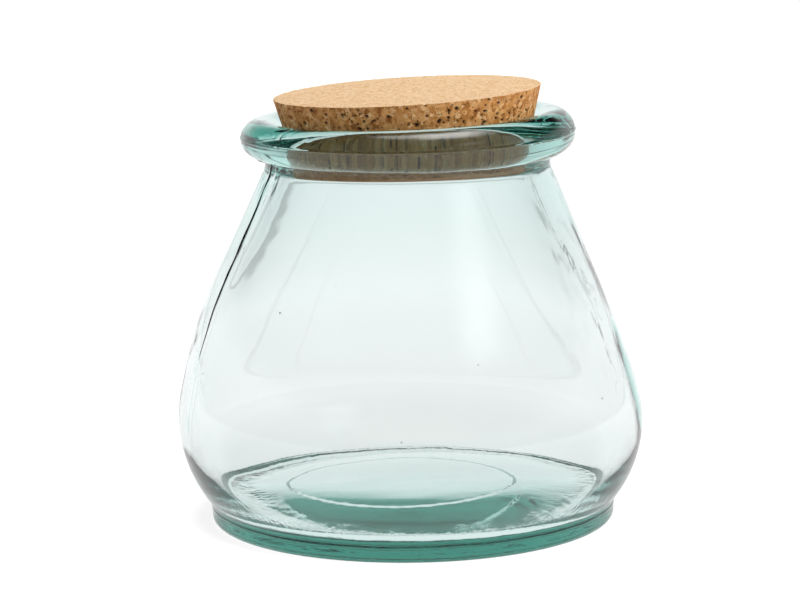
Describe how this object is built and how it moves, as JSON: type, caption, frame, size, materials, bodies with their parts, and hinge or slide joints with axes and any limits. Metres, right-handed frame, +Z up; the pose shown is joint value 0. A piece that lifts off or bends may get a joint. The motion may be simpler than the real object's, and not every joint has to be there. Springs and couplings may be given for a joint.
{
  "type": "glass jar with cork lid",
  "caption": "Pear-shaped storage jar of thick greenish recycled glass with a heavy rounded rim and a pushed-up base, closed by a tapered cork lid that lifts off.",
  "frame": {"origin": "middle of the flat ring that the jar stands on, on the jar's axis", "axes": "+Z up along the jar's axis, -Y towards the front of the picture, +X to the front's right, where the lid stands highest"},
  "size_m": [0.19, 0.19, 0.1781],
  "materials": {
    "recycled_glass": "gloss",
    "agglomerated_cork": "matte"
  },
  "bodies": {
    "jar": {"glass_jar": "recycled_glass"},
    "lid": {"cork_lid": "agglomerated_cork"}
  },
  "joints": [
    {"name": "lid_lift", "type": "slide", "parent": "jar", "child": "lid", "axis": [0, 0, 1], "range_m": [0, 0.08]}
  ]
}
